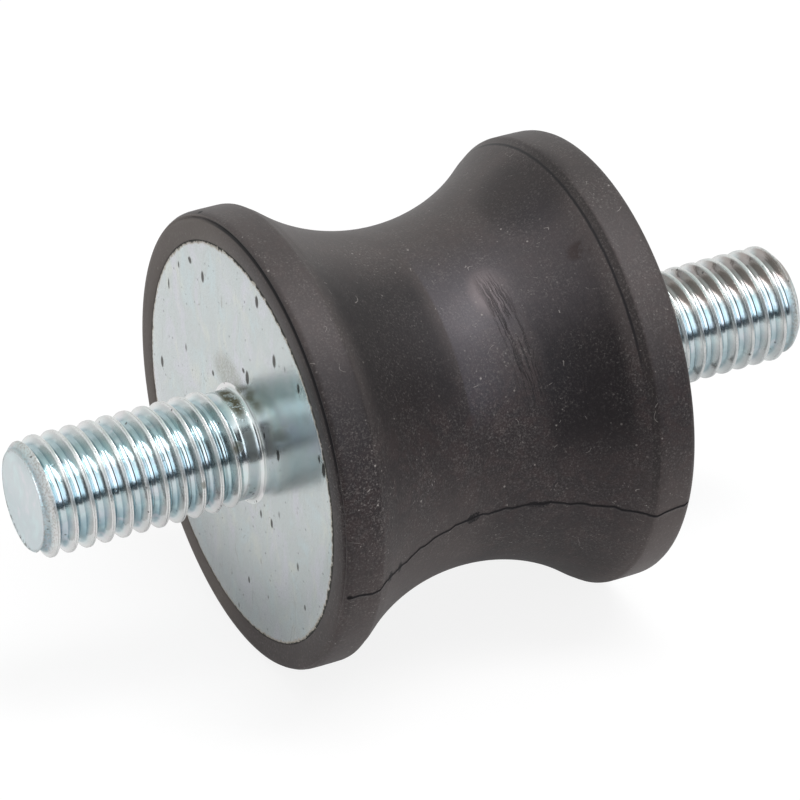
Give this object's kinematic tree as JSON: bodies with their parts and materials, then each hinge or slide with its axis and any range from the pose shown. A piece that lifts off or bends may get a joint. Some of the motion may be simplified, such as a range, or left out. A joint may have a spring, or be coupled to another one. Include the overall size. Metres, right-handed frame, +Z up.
{
  "type": "bobbin vibration mount",
  "caption": "Waisted round rubber mount with a steel plate bonded into each end and a threaded stud standing out of each plate, for isolating vibration.",
  "frame": {"origin": "middle of the rubber body, on the mount's axis", "axes": "+X along the axis of the studs, out of the rear stud; +Z up as the body lies on its two rims"},
  "size_m": [0.055, 0.0302, 0.0302],
  "materials": {
    "rubber": "moulded, matte with a soft sheen",
    "zinc_plate": "bright zinc plated, fine drawing streaks",
    "zinc_stud": "bright zinc plated, rolled"
  },
  "bodies": {
    "root": {"rubber_body": "rubber", "front_plate": "zinc_plate", "rear_plate": "zinc_plate", "front_stud": "zinc_stud", "rear_stud": "zinc_stud"}
  },
  "joints": []
}
